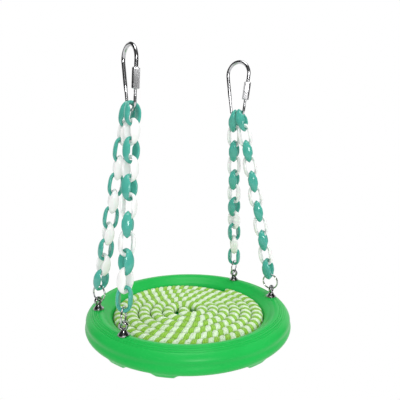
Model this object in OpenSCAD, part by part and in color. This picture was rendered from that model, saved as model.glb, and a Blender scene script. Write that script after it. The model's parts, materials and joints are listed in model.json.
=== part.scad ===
// Hanging bird hammock: a ring tray with a coiled rope mat, slung from four
// link chains on two screw-lock hooks. Millimetres, +Z up, X runs from hook to hook.
// The origin is on the tray's axis, at the plane of its feet.

/* [Tray] */
// Outer radius of the tray's rim
rim_r = 90; // [80:1:100]
// Width of the rim's section, from its inner wall to its outer wall
rim_w = 23.5; // [22:0.5:26]
// Height of the rim's section, without the feet
rim_h = 19.4; // [18.6:0.2:26]
// Radius of the rim's two lower corners
rim_corner = 6; // [4:0.5:7]
// Wall of the hollow rim
rim_wall = 2.4; // [1.6:0.2:3]
// Width of the open slot under the rim
rim_slot_w = 6.4; // [6:0.2:8]
// Thickness of the floor under the mat
floor_t = 2; // [1.4:0.2:3]
// Height of the floor's underside above the rim's lowest edge
floor_lift = 2.6; // [1:0.2:4]
// Distance from the rim's outer wall to the innermost groove
groove_inset = 8.6; // [8:0.2:11]
// Step from one groove to the next
groove_step = 1.9; // [1.4:0.1:2.4]
// Number of grooves
groove_count = 2; // [1:1:3]
// Radius of a groove's round section
groove_size = 0.4; // [0.2:0.1:0.6]
// Height of a foot
foot_h = 2.2; // [1:0.2:4]
// Radial width of a foot
foot_w = 2.4; // [1.6:0.2:2.4]
// Angle that a foot spans
foot_span = 11; // [6:1:16]

/* [Rope mat] */
// Diameter of the rope
rope_d = 8.8; // [7:0.2:9]
// Least step between two turns of the rope, beyond its diameter
coil_gap = 1.2; // [1.2:0.1:1.6]
// Play between the rope, the floor and the rim's inner wall
mat_play = 0.4; // [0.3:0.1:1]

/* [Eye bolts] */
// Angle from the X axis to a bolt
bolt_angle = 21.2; // [18:0.2:30]
// Diameter of a bolt's flared base
flange_d = 9.6; // [8:0.2:11]
// Height of the flared base
flange_h = 4.3; // [3.6:0.1:4.8]
// Edge thickness of the flared base
flange_edge = 0.8; // [0.5:0.1:1.2]
// Depth of the flat seat cut into the rim's crown
seat_depth = 0.5; // [0.3:0.1:0.8]
// Outer diameter of the eye
eye_d = 8; // [7.4:0.1:8.4]
// Diameter of the eye's hole
eye_hole_d = 3.6; // [3.2:0.1:4]
// Diameter of the threaded shank
shank_d = 3; // [2.5:0.1:3.2]
// Thickness of a nut
nut_h = 2.4; // [2:0.1:3]
// Width of a nut across its flats
nut_af = 5.5; // [5:0.1:5.8]
// Thickness of a washer
washer_t = 0.6; // [0.4:0.1:1]
// Outer diameter of a washer
washer_d = 6.2; // [5.6:0.1:6.4]
// Length of thread that stands out of a nut
thread_out = 1.4; // [0.6:0.2:2]
// Radial play of a shank in its hole
shank_play = 0.1; // [0.05:0.05:0.2]

/* [Jump rings] */
// Outer diameter of a jump ring
jump_d = 15; // [13:0.5:16]
// Wire of a jump ring
jump_wire = 1.4; // [1:0.1:1.6]
// Gap where a jump ring bears on its link and on its eye
ring_gap = 0.5; // [0.4:0.05:0.7]

/* [Chains] */
// Length of a link
link_l = 20.2; // [19.4:0.1:21]
// Width of a link across its two legs
link_w = 12; // [11.6:0.1:13]
// Thickness of a link's legs and round ends
link_t = 2.9; // [2.6:0.1:3]
// Width of a link's leaf at its middle
leaf_w = 7.6; // [6.6:0.1:7.8]
// Width of a link's leaf at its two tips
leaf_tip_w = 1.8; // [1.4:0.1:2]
// Width of the flat land inside a link's round ends
land_w = 1.2; // [1:0.1:1.4]
// Radius of the crown across a leaf
leaf_crown_r = 6.6; // [6.4:0.1:8]
// Gap where one link bears on the next
link_gap = 0.8; // [0.7:0.05:0.9]

/* [Hooks] */
// Distance between the two hooks
hook_span = 100; // [90:0.2:108]
// Length of a hook
hook_l = 48; // [45:0.5:54]
// Width of a hook at its wide end
hook_w = 22.6; // [22:0.2:24]
// Wire of a hook
hook_wire = 2.4; // [2:0.1:2.6]
// Inside radius of a hook's narrow end
hook_bend = 5; // [4.9:0.1:5.4]
// Turn of the left hook about its own upright axis
hook_left_turn = 5; // [0:1:12]
// Turn of the right hook about its own upright axis
hook_right_turn = 24; // [20:1:26]
// Length of a screw sleeve
sleeve_l = 14.4; // [13:0.2:15]
// Width of a screw sleeve across its flats
sleeve_af = 4.3; // [4:0.1:4.6]
// Radial play of a sleeve on its wire
sleeve_play = 0.3; // [0.25:0.05:0.35]
// Height of a closed sleeve's lower end above the hook's lowest point
sleeve_z = 15.5; // [14:0.2:17]
// Length of the gap in the hook that a sleeve closes
gate_gap = 3.6; // [3:0.2:3.6]
// Length of thread that a closed sleeve covers below the gap
gate_cover = 0.8; // [0.6:0.1:0.8]

/* [Hidden] */
$fn = 48;
CHAINS = ["back_left", "front_left", "front_right", "back_right"];
LINKS = 11;

// Colours
tray_green = "#2ab84a";
rope_green = "#a8d860";
link_teal = "#4fae98";
link_white = "#ecefe9";
steel = "#b9bcc0";

// Heights and radii of the tray
rim_top = foot_h + rim_h;
rim_mid_r = rim_r - rim_w / 2;
rim_inner_r = rim_r - rim_w;
groove_r = rim_r - groove_inset;
crown_z = rim_top - rim_w / 2;
floor_z = foot_h + floor_lift;
slot_inner_r = rim_mid_r - rim_slot_w / 2;
slot_outer_r = rim_mid_r + rim_slot_w / 2;
overlap = 0.5;
// Six-sided pieces: number of sides, and half the angle of one side
hex_sides = 6;
hex_half = 180 / hex_sides;
foot_inset = 0.4;
// Angles of the feet on one half of the rim; the other half repeats them
foot_angles = [21, 47.5, 94.5];

// Rope: turns that run round on the front side and jog to the next turn at the back
rope_rings = 24;
rope_sides = 6;
rope_r = rope_d / 2;
rope_z = floor_z + floor_t + mat_play + rope_r;
rope_outer_r = rim_inner_r - mat_play - rope_r;
// Room for the straight outer end, which leaves the circle along its tangent
rope_last_r = sqrt(pow(rope_outer_r, 2) - pow(rope_d, 2));
rope_coils = floor(rope_last_r / (rope_d + coil_gap));
rope_pitch = rope_last_r / rope_coils;
// Direction of the middle of the round runs, and the share of a turn that a jog takes
rope_front = 239;
rope_jog = 0.25;
// The spiral starts one step from the centre, after a quarter turn of half that radius
rope_inner_turn = 360;
rope_curl_r = rope_pitch / 2;
rope_curl_steps = 6;
rope_outer_turn = 360 * (rope_coils + (1 - rope_jog) / 2);
rope_steps = floor((rope_outer_turn - rope_inner_turn) * rope_rings / 360);
rope_slope_step = 0.5;

// Eye bolts
seat_z = rim_top - seat_depth;
eye_wire = (eye_d - eye_hole_d) / 2;
eye_mid_r = (eye_d + eye_hole_d) / 4;
eye_z = seat_z + flange_h + eye_d / 2 - eye_wire / 3;
ceiling_z = rim_top - rim_wall;
boss_drop = 1;
boss_z = ceiling_z - boss_drop;
boss_edge = 0.6;
boss_d = washer_d + 2 * boss_edge;
washer_z = boss_z - washer_t;
nut_z = washer_z - nut_h;
shank_low_z = nut_z - thread_out;

// Links: the bar of one end lies in the hole of the next
hole_l = link_l - 2 * link_t;
hole_w = link_w - 2 * link_t;
link_pitch = hole_l - link_gap;
leaf_rise = (leaf_w - leaf_tip_w) / 2;
leaf_r = (pow(link_l / 2, 2) + pow(leaf_rise, 2)) / (2 * leaf_rise);

// Jump rings
jump_mid_r = (jump_d - jump_wire) / 2;
jump_hole = jump_d - 2 * jump_wire;
jump_pitch = jump_hole - 2 * ring_gap;

// Hooks: a pear outline of two arcs and two straight legs
hook_wire_r = hook_wire / 2;
hook_top_r = hook_w / 2 - hook_wire_r;
hook_low_r = hook_bend + hook_wire_r;
hook_axis_l = hook_l - hook_wire - hook_top_r - hook_low_r;
leg_lean = asin((hook_top_r - hook_low_r) / hook_axis_l);
leg_l = hook_axis_l * cos(leg_lean);
leg_foot = hook_low_r + hook_wire_r - hook_low_r * sin(leg_lean);
sleeve_start = (sleeve_z - leg_foot) / cos(leg_lean);
gate_start = sleeve_start + gate_cover;
joint_l = 0.6;
joint_rise = 0.03;

// Chain layout. A top link's bar sits beside the bend's middle; all chains have one length
top_link_side = 2.7;
top_link_lean = 17;
top_link_out = 9;
top_land_drop = 2.6;
eye_contact_z = eye_z + eye_hole_d / 2;
sway_x = hook_span / 2 + link_pitch * sin(top_link_out);
sway_y = top_link_side + link_pitch * sin(top_link_lean);
bolt_x = rim_mid_r * cos(bolt_angle);
bolt_y = rim_mid_r * sin(bolt_angle);
chain_l = (LINKS - 1) * link_pitch + jump_pitch;
sway_z = eye_contact_z + sqrt(pow(chain_l, 2) - pow(bolt_x - sway_x, 2) - pow(bolt_y - sway_y, 2));
top_land_z = sway_z + sqrt(pow(link_pitch, 2) - pow(sway_x - hook_span / 2, 2) - pow(sway_y - top_link_side, 2));
hook_z = top_land_z + top_land_drop;
hook_low_z = hook_z - hook_low_r - hook_wire_r;

// Heading of each chain's first link, and how it turns from link to link: start, step, growth
headings = [[-87, -9.67, 1.167], [-84, 2.12, 1.158], [-58, 9, -0.95], [-58, 7, -1.6]];

function link_name(chain, k) = str("link_", chain, k < 10 ? "_0" : "_", k);
function chain_index(chain) = search([chain], CHAINS)[0];
function side_x(chain) = chain_index(chain) < 2 ? -1 : 1;
function side_y(chain) = chain_index(chain) == 0 || chain_index(chain) == 3 ? 1 : -1;
function hook_turn(side) = side < 0 ? hook_left_turn : hook_right_turn;
function unit(v) = v / norm(v);
function heading(chain, k) =
    let (h = headings[chain_index(chain)], n = k - 1) h[0] + (90 + h[1]) * n + h[2] * n * n;

// Fixed points of a chain, from the hook down to the eye
function sway_point(chain) = [side_x(chain) * sway_x, side_y(chain) * sway_y, sway_z];
function eye_point(chain) = [side_x(chain) * bolt_x, side_y(chain) * bolt_y, eye_contact_z];
function top_point(chain) =
    let (
        turn = hook_turn(side_x(chain)),
        out = side_y(chain) * top_link_side,
        x = side_x(chain) * hook_span / 2 - out * sin(turn),
        y = out * cos(turn),
        low = sway_point(chain),
        rise = sqrt(pow(link_pitch, 2) - pow(low[0] - x, 2) - pow(low[1] - y, 2))
    )
    [x, y, low[2] + rise];
function chain_down(chain) = unit(eye_point(chain) - sway_point(chain));
function link_up(chain, k) = k == 1 ? unit(top_point(chain) - sway_point(chain)) : -chain_down(chain);
function link_centre(chain, k) =
    k == 1 ? (top_point(chain) + sway_point(chain)) / 2
        : sway_point(chain) + chain_down(chain) * ((k - 1.5) * link_pitch);
function ring_centre(chain) = eye_point(chain) - chain_down(chain) * (jump_pitch / 2);

// Rope path: turn in degrees to a point, with straight runs of one diameter at both ends.
// An even spiral near the centre grows into round runs with jogs at the outer turn
function jog_share(n) = max(0, min(1, (n - 1) / (rope_coils - 1)));
function jog_step(f) = let (x = max(0, min(1, (f - 0.5) / rope_jog + 0.5))) x * x * (3 - 2 * x);
function spiral_r(turn) =
    let (n = turn / 360, f = n - floor(n)) rope_pitch * (n + jog_share(n) * (jog_step(f) - f));
function spiral(turn) = spiral_r(turn) * [cos(turn + rope_front), sin(turn + rope_front)];
function spiral_along(turn) = unit(spiral(turn + rope_slope_step) - spiral(turn - rope_slope_step));
function turned(v, a) = [v[0] * cos(a) - v[1] * sin(a), v[0] * sin(a) + v[1] * cos(a)];
rope_turns = [for (i = [0:rope_steps]) rope_inner_turn + i * 360 / rope_rings];
rope_last = rope_turns[rope_steps];
curl_angles = [for (i = [rope_curl_steps:-1:1]) -90 * i / rope_curl_steps];
curl_side = rope_curl_r * turned(spiral_along(rope_inner_turn), -90);
function curl(a) = spiral(rope_inner_turn) - curl_side + turned(curl_side, a);
function curl_along(a) = turned(spiral_along(rope_inner_turn), a);
rope_path = concat(
    [curl(curl_angles[0]) - rope_d * curl_along(curl_angles[0])],
    [for (a = curl_angles) curl(a)],
    [for (t = rope_turns) spiral(t)],
    [spiral(rope_last) + rope_d * spiral_along(rope_last)]
);
rope_along = concat(
    [curl_along(curl_angles[0])],
    [for (a = curl_angles) curl_along(a)],
    [for (t = rope_turns) spiral_along(t)],
    [spiral_along(rope_last)]
);
rope_count = len(rope_path);
// Least gap of the rope to itself, between points that are not neighbours along it
rope_apart = rope_rings / 2;
rope_gap = min([
    for (i = [0:rope_count - 1], j = [i + rope_apart:1:rope_count - 1])
        norm(rope_path[i] - rope_path[j]) - rope_d
]);
echo(rope_least_gap = rope_gap);

// Stands a piece built along +Z on a line, turned to a heading about it
module along(centre, up, turn) {
    lean = acos(up[2]);
    az = atan2(up[1], up[0]);
    translate(centre)
        rotate([0, 0, az])
            rotate([0, lean, 0])
                rotate([0, 0, turn - 90 - az])
                    children();
}

// Puts children at each eye bolt's place
module at_bolts() {
    for (c = CHAINS) {
        translate([side_x(c) * bolt_x, side_y(c) * bolt_y, 0])
            children();
    }
}

// Section of the rim's outside, grown or shrunk by an inset
module rim_section(inset) {
    corner = rim_corner - inset;
    low = foot_h + inset;
    half = rim_w / 2 - inset;
    intersection() {
        translate([rim_mid_r, crown_z]) circle(r = half);
        translate([rim_mid_r - half, crown_z - overlap]) square([2 * half, half + 2 * overlap]);
    }
    for (s = [-1, 1]) {
        translate([rim_mid_r + s * (half - corner), low + corner]) circle(r = corner);
    }
    translate([rim_mid_r - half, low + corner]) square([2 * half, crown_z - low - corner]);
    translate([rim_mid_r - half + corner, low]) square([2 * (half - corner), crown_z - low]);
}

// Ring tray: hollow rim with a slot below, floor, seats, bosses, grooves and feet
module tray() {
    color(tray_green)
        difference() {
            union() {
                rotate_extrude() tray_section();
                at_bolts()
                    translate([0, 0, boss_z]) cylinder(d = boss_d, h = boss_drop + rim_wall / 2);
                feet();
            }
            at_bolts() {
                translate([0, 0, seat_z]) cylinder(d = flange_d + 2 * shank_play, h = seat_depth + overlap);
                cylinder(d = shank_d + 2 * shank_play, h = rim_top + overlap);
            }
        }
}

// Section of the whole moulding: hollow rim, slot, grooves and floor
module tray_section() {
    difference() {
        rim_section(0);
        rim_section(rim_wall);
        translate([slot_inner_r, 0]) square([rim_slot_w, foot_h + rim_wall + overlap]);
        for (i = [0:groove_count - 1]) {
            groove(groove_r + i * groove_step);
        }
    }
    translate([0, floor_z]) square([rim_inner_r + rim_wall / 2, floor_t]);
}

// Round section of one groove on the rim's crown
module groove(r) {
    rise = sqrt(pow(rim_w / 2, 2) - pow(r - rim_mid_r, 2));
    translate([r, crown_z + rise]) circle(r = groove_size);
}

// Low pads under the rim, in two like halves
module feet() {
    for (a = foot_angles, half = [0, 180]) {
        rotate([0, 0, a + half - foot_span / 2])
            rotate_extrude(angle = foot_span)
                translate([slot_outer_r + foot_inset, 0]) square([foot_w, foot_h + rim_wall / 2]);
    }
}

// Rope mat: one unbroken tube along the spiral
module rope_mat() {
    ring_points = [
        for (i = [0:rope_count - 1], s = [0:rope_sides - 1])
            let (a = 90 + 360 * s / rope_sides, side = [rope_along[i][1], -rope_along[i][0]])
            [
                rope_path[i][0] + rope_r * cos(a) * side[0],
                rope_path[i][1] + rope_r * cos(a) * side[1],
                rope_z + rope_r * sin(a)
            ]
    ];
    walls = [
        for (i = [0:rope_count - 2], s = [0:rope_sides - 1], half = [0, 1])
            let (
                n = (s + 1) % rope_sides,
                a = i * rope_sides + s,
                b = i * rope_sides + n,
                c = a + rope_sides,
                d = b + rope_sides
            )
            half == 0 ? [a, b, d] : [a, d, c]
    ];
    last = (rope_count - 1) * rope_sides;
    caps = [
        for (s = [1:rope_sides - 2], end = [0, 1])
            end == 0 ? [0, s + 1, s] : [last, last + s, last + s + 1]
    ];
    color(rope_green) polyhedron(points = ring_points, faces = concat(walls, caps));
}

// Eye bolt: threaded shank, flared base and a round eye
module eye_bolt(chain) {
    color(steel)
        translate([side_x(chain) * bolt_x, side_y(chain) * bolt_y, 0]) {
            translate([0, 0, shank_low_z]) cylinder(d = shank_d, h = seat_z - shank_low_z + overlap);
            translate([0, 0, seat_z]) cylinder(d = flange_d, h = flange_edge);
            translate([0, 0, seat_z + flange_edge])
                cylinder(d1 = flange_d, d2 = eye_d / 2, h = flange_h - flange_edge);
            translate([0, 0, eye_z])
                rotate([90, 0, heading(chain, LINKS) + 90])
                    rotate_extrude() translate([eye_mid_r, 0]) circle(d = eye_wire);
        }
}

// Nuts under the crown's bosses
module eye_nuts() {
    color(steel)
        at_bolts()
            translate([0, 0, nut_z])
                difference() {
                    cylinder(d = nut_af / cos(hex_half), h = nut_h, $fn = hex_sides);
                    translate([0, 0, -overlap]) cylinder(d = shank_d + shank_play, h = nut_h + 2 * overlap);
                }
}

// Washers between the nuts and the bosses
module eye_washers() {
    color(steel)
        at_bolts()
            translate([0, 0, washer_z])
                difference() {
                    cylinder(d = washer_d, h = washer_t);
                    translate([0, 0, -overlap]) cylinder(d = shank_d + 2 * shank_play, h = washer_t + 2 * overlap);
                }
}

// Jump ring between a chain's last link and its eye
module jump_ring(chain) {
    color(steel)
        along(ring_centre(chain), link_up(chain, LINKS), heading(chain, LINKS) + 90)
            rotate([90, 0, 0])
                rotate_extrude() translate([jump_mid_r, 0]) circle(d = jump_wire);
}

// Flat outline with round ends, upright on Z, as thick as asked
module long_ring(w, l, thick) {
    rotate([90, 0, 0])
        linear_extrude(height = thick, center = true) {
            square([w, l - w], center = true);
            for (s = [-1, 1]) {
                translate([0, s * (l - w) / 2]) circle(d = w);
            }
        }
}

// Flare that opens a link's hole towards both faces, at 45 degrees
module hole_flare() {
    depth = leaf_w / 2;
    wide = hole_w / 2 + depth - land_w / 2;
    for (face = [0, 180]) {
        rotate([0, 0, face]) {
            for (s = [-1, 1]) {
                translate([0, land_w / 2, s * (hole_l - hole_w) / 2])
                    rotate([-90, 0, 0])
                        cylinder(r1 = hole_w / 2, r2 = wide, h = depth - land_w / 2);
            }
        }
    }
}

// One chain link: an oval ring whose legs swell into leaves
module chain_link(chain, k) {
    color(k % 2 == 1 ? link_teal : link_white)
        along(link_centre(chain, k), link_up(chain, k), heading(chain, k))
            difference() {
                intersection() {
                    long_ring(link_w, link_l, leaf_w);
                    rotate([0, 90, 0]) {
                        intersection() {
                            translate([0, leaf_w / 2 - leaf_r, -link_w]) cylinder(r = leaf_r, h = 2 * link_w);
                            translate([0, leaf_r - leaf_w / 2, -link_w]) cylinder(r = leaf_r, h = 2 * link_w);
                        }
                    }
                    translate([0, 0, -link_l]) cylinder(r = leaf_crown_r, h = 2 * link_l);
                }
                long_ring(hole_w, hole_l, leaf_w + overlap);
                hole_flare();
            }
}

// Runs children in a hook's own frame: its wire lies in the local XZ plane, lowest point at zero
module at_hook(side) {
    translate([side * hook_span / 2, 0, hook_low_z])
        rotate([0, 0, hook_turn(side) - 90])
            children();
}

// Frame of the leg that carries the gap: +Z up the leg from its lower tangent point
module on_leg(side) {
    translate([side * hook_low_r * cos(leg_lean), 0, leg_foot])
        rotate([0, side * leg_lean, 0])
            children();
}

// Arc of the hook's wire in the local XZ plane, about a centre on Z
module hook_arc(z, r, from, sweep) {
    translate([0, 0, z])
        rotate([90, 0, 0])
            rotate([0, 0, from])
                rotate_extrude(angle = sweep) translate([r, 0]) circle(r = hook_wire_r);
}

// Barely raised collars where a straight leg runs into the two arcs
module leg_joints() {
    for (z = [0, leg_l]) {
        translate([0, 0, z]) cylinder(r = hook_wire_r + joint_rise, h = joint_l, center = true);
    }
}

// Pear-shaped hook of bent wire, open at the gap that the sleeve closes
module hook(side) {
    color(steel)
        at_hook(side) {
            hook_arc(hook_low_r + hook_wire_r, hook_low_r, 180 + leg_lean, 180 - 2 * leg_lean);
            hook_arc(hook_l - hook_wire_r - hook_top_r, hook_top_r, -leg_lean, 180 + 2 * leg_lean);
            on_leg(-1) {
                cylinder(r = hook_wire_r, h = leg_l);
                leg_joints();
            }
            on_leg(1) {
                leg_joints();
                cylinder(r = hook_wire_r, h = gate_start);
                translate([0, 0, gate_start + gate_gap])
                    cylinder(r = hook_wire_r, h = leg_l - gate_start - gate_gap);
            }
        }
}

// Six-sided screw sleeve over the hook's gap
module sleeve(side) {
    color(steel)
        at_hook(side)
            on_leg(1)
                translate([0, 0, sleeve_start])
                    difference() {
                        cylinder(d = sleeve_af / cos(hex_half), h = sleeve_l, $fn = hex_sides);
                        translate([0, 0, -overlap])
                            cylinder(r = hook_wire_r + sleeve_play, h = sleeve_l + 2 * overlap);
                    }
}

tray();
rope_mat();
eye_nuts();
eye_washers();
hook(-1);  // hook_left
hook(1);  // hook_right
sleeve(-1);  // sleeve_left
sleeve(1);  // sleeve_right
for (c = CHAINS) {
    eye_bolt(c);
    jump_ring(c);
    for (k = [1:LINKS]) {
        chain_link(c, k);
    }
}
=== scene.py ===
"""Looks of a hanging bird hammock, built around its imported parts.

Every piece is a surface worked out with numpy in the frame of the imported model, in metres:
a grid of points over two parameters, or a section carried along a path.
"""

import json

import bpy
import numpy as np
from bpy.props import FloatProperty, FloatVectorProperty, IntProperty, PointerProperty
from bpy.types import Operator, Panel, PropertyGroup
from mathutils import Matrix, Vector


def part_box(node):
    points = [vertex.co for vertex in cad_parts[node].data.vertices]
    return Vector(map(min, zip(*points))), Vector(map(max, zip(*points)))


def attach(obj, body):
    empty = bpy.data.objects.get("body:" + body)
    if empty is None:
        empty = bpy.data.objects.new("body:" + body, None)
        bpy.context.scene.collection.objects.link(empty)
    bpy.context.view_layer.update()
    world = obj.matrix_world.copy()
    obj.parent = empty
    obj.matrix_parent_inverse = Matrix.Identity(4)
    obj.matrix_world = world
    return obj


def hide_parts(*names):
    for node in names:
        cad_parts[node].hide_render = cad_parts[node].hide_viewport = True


bl_info = {
    "name": "Bird hammock",
    "version": (1, 0, 0),
    "blender": (4, 5, 0),
    "location": "3D View > Sidebar > Hammock",
    "description": "Builds the looks of a hanging bird hammock around its packed parts",
    "category": "Add Mesh",
}

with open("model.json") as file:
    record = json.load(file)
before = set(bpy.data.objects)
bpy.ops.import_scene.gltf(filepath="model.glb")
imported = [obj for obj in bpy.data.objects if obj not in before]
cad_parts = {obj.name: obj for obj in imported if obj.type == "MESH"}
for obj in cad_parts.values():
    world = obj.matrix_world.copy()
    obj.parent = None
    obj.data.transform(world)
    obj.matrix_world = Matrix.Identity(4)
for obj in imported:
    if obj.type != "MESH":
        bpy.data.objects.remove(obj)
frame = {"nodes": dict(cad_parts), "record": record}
NODES = frame["nodes"]
BODY_OF = {node: body for body, nodes in frame["record"]["behaviour"]["bodies"].items() for node in nodes}
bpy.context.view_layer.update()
CHAINS = ("back_left", "front_left", "front_right", "back_right")
LINKS = 11
TRAY_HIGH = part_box("tray")[1]
ROPE_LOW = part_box("rope_mat")[0]
UP = np.array([0.0, 0.0, 1.0])
TAU = 2 * np.pi
FRONT = np.radians(239)  # direction from the tray's axis to the camera
AXIS_GAP = 0.0004  # radius at which a turned profile starts and ends beside its axis
BLACK, WHITE = (0, 0, 0, 1), (1, 1, 1, 1)


def number(name, description, default, **limits):
    """A plain number that a user may change; the limits go to the property as they are."""
    return FloatProperty(name=name, description=description, default=default, **limits)


def length(name, description, default):
    """A length that a user may change, in metres."""
    return number(name, description, default, min=0.0, precision=5, unit="LENGTH")


def colour(name, description, default):
    """A colour that a user may change, as linear red, green and blue."""
    return FloatVectorProperty(
        name=name, description=description, default=default, size=3, min=0.0, max=1.0, subtype="COLOR"
    )


class HammockTray(PropertyGroup):
    """Sizes and colours of the moulded ring tray."""

    rim_radius: length("Rim radius", "Outer radius of the rim", TRAY_HIGH.x)
    rim_width: length("Rim width", "Width of the rim's section", 0.0235)
    rim_top: length("Rim top", "Height of the rim's crown above the feet", TRAY_HIGH.z)
    foot_height: length("Foot height", "Height of the pads under the rim", 0.0022)
    corner: length("Corner", "Radius of the rim's lower corners", 0.006)
    wall: length("Wall", "Wall of the hollow rim", 0.0024)
    slot: length("Slot", "Width of the open slot under the rim", 0.0064)
    floor_under: length("Floor underside", "Height of the floor's underside", 0.0048)
    floor_thick: length("Floor thickness", "Thickness of the floor", 0.002)
    seat_depth: length("Seat depth", "Depth of the bolts' flat seats in the crown", 0.0005)
    slant: length("Slant", "How far the crown's inner shoulder is flattened", 0.0013)
    groove: length("Groove", "Depth of the fine grooves on the crown", 0.00042)
    hollow: length("Side hollow", "Depth of the shallow hollow above the outer side's lower lip", 0.0009)
    green: colour("Green", "Colour of the moulding", (0.013, 0.48, 0.078))
    green_deep: colour("Deep green", "Colour of the denser streaks in the moulding", (0.009, 0.43, 0.065))


class HammockRope(PropertyGroup):
    """Sizes and colours of the laid rope mat."""

    pitch: length("Pitch", "Step from one turn of the rope to the next", 0.010178)
    rope_width: length("Rope width", "Width of the rope across its strands", 0.0088)
    first_turn: number("First turn", "Turns from the centre to the spiral's start", 1.0)
    last_turn: number("Last turn", "Turns from the centre to the spiral's end", 6.375)
    front: number("Front", "Direction of the middle of the round runs", FRONT, subtype="ANGLE")
    jog: number("Jog", "Share of a turn in which the rope passes to the next turn", 0.25)
    lay: length("Lay", "Length of rope in which a strand goes once round", 0.009058)
    phase: number("Phase", "Turn of the strands where the rope starts", 0.0)
    drift: number("Drift", "Turns that the strands gain for each turn of the mat", 0.5)
    strand: length("Strand", "Radius of one strand", 0.0025)
    helix: length("Helix", "Distance from the rope's axis to a strand's axis", 0.0024)
    spread: number("Spread", "Share by which the pressed rope is wider than high", 0.085)
    strands: IntProperty(
        name="Strands", description="Number of strands, lime and white by turns", default=2, min=2
    )
    lime: colour("Lime", "Colour of the lime strands", (0.38, 0.82, 0.05))
    white: colour("White", "Colour of the white strands", (0.82, 1.0, 0.72))


class HammockLink(PropertyGroup):
    """Sizes and colours of the chain links."""

    long: length("Length", "Length of a link", 0.0202)
    wide: length("Width", "Width of a link across its legs", 0.0126)
    thick: length("Thickness", "Thickness of the legs", 0.0029)
    leaf: length("Leaf width", "Width of a leg's leaf at its middle", 0.008)
    tip: length("Tip width", "Width of the leaf at its tips", 0.0018)
    oval: number("Oval", "Exponent of the link's outline: 2 is an ellipse", 2.6, min=2.0)
    pinch: number("Pinch", "Share by which the legs' inner faces narrow at the ends", 0.76)
    dome: length("Dome", "How far the leaf's outer face stands up across its width", 0.0009)
    teal: colour("Teal", "Colour of the teal links", (0.085, 0.45, 0.36))
    white: colour("White", "Colour of the white links", (0.93, 0.925, 0.89))


class HammockSteel(PropertyGroup):
    """Sizes and colour of the plated steel fittings."""

    hook_width: length("Hook width", "Width of a hook at its wide end", 0.0226)
    hook_wire: length("Hook wire", "Diameter of a hook's wire at its narrow end", 0.0024)
    hook_swell: length("Hook swell", "How much thicker the wire is on the legs and the wide end", 0.0007)
    hook_bend: length("Hook bend", "Radius of the wire's axis at a hook's narrow end", 0.0062)
    gate_low: length("Gap start", "Distance up the leg to the gap", 0.0098054)
    gate_gap: length("Gap", "Length of the gap that the sleeve closes", 0.0036)
    sleeve_flats: length("Sleeve flats", "Width of a sleeve across its flats", 0.0050)
    sleeve_long: length("Sleeve length", "Length of a sleeve", 0.0144)
    sleeve_bore: length("Sleeve bore", "Radius of a sleeve's bore", 0.0017)
    ring_wire: length("Ring wire", "Diameter of a jump ring's wire", 0.0014)
    ring_wide: length("Ring width", "Outer diameter of a jump ring", 0.015)
    eye_mid: length("Eye radius", "Radius of an eye's wire axis", 0.0028)
    eye_wire: length("Eye wire", "Diameter of an eye's wire", 0.0022)
    flange: length("Flange", "Radius of a bolt's flared base", 0.0045)
    flange_rise: length("Flange rise", "Height of the flared base", 0.0043)
    shank: length("Shank", "Radius of a bolt's threaded shank", 0.0015)
    plating: colour("Plating", "Colour of the plated steel", (0.60, 0.60, 0.61))


class HammockStage(PropertyGroup):
    """Floor, lights and the tent round them."""

    floor_drop: length("Floor drop", "Distance from the tray's feet down to the floor", 0.28)
    world: number("World", "Strength of the even light from all round", 0.57)
    key: number("Key lamp", "Power of the soft lamp beside the camera, in watts", 4.0)
    top: number("Top lamp", "Power of the wide lamp overhead, in watts", 6.2)
    fill: number("Fill lamp", "Power of the wide lamp at the right, in watts", 2.5)
    pale: colour("Pale", "Colour of the floor", (0.9, 0.9, 0.9))
    tent_span: number("Tent span", "Angle that the dark tent covers, in degrees", 240.0)
    tent_strip: number("Tent strip", "Angle of the paler strip in the tent's middle, in degrees", 30.0)
    tent_low: number("Tent low", "Elevation of the tent's lower edge, in degrees", -5.0)
    tent_high: number("Tent high", "Elevation of the tent's upper edge, in degrees", 140.0)


def full_turn(count):
    """Evenly spaced angles once round, from zero."""
    return np.arange(count) * TAU / count


def unit(v):
    """Vectors scaled to length one."""
    return v / np.linalg.norm(v, axis=-1, keepdims=True)


def ease(x, a, b):
    """Smooth step from 0 at a to 1 at b."""
    t = np.clip((x - a) / (b - a), 0.0, 1.0)
    return t * t * (3 - 2 * t)


def arc(cx, cy, r, start, stop, count):
    """Points of a circle's arc, angles in degrees."""
    a = np.radians(np.linspace(start, stop, count))
    return np.stack([cx + r * np.cos(a), cy + r * np.sin(a)], -1)


def line(a, b, count):
    """Points of a straight run, both ends included."""
    t = np.linspace(0.0, 1.0, count)[:, None]
    return np.asarray(a) * (1 - t) + np.asarray(b) * t


def steps(points):
    """Distances from each point of a run to the next."""
    return np.linalg.norm(np.diff(points, axis=0), axis=1)


def once(points):
    """A run of points without repeated neighbours."""
    return points[np.concatenate([[True], steps(points) > 1e-7])]


def travel(points):
    """Distance along a run of points, from its first one."""
    return np.concatenate([[0.0], np.cumsum(steps(points))])


def even(points, step):
    """The same run of points, spaced evenly at about the step asked."""
    s = travel(points)
    t = np.linspace(0.0, s[-1], max(2, int(round(s[-1] / step)) + 1))
    return np.stack([np.interp(t, s, points[:, k]) for k in range(points.shape[1])], -1)


def node_triangles(name):
    """Triangles of a CAD node's mesh, as an array of corners."""
    mesh = NODES[name].data
    mesh.calc_loop_triangles()
    corners = np.empty(len(mesh.loop_triangles) * 3, np.int32)
    mesh.loop_triangles.foreach_get("vertices", corners)
    points = np.empty(len(mesh.vertices) * 3, np.float32)
    mesh.vertices.foreach_get("co", points)
    return points.reshape(-1, 3).astype(float)[corners].reshape(-1, 3, 3)


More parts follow.
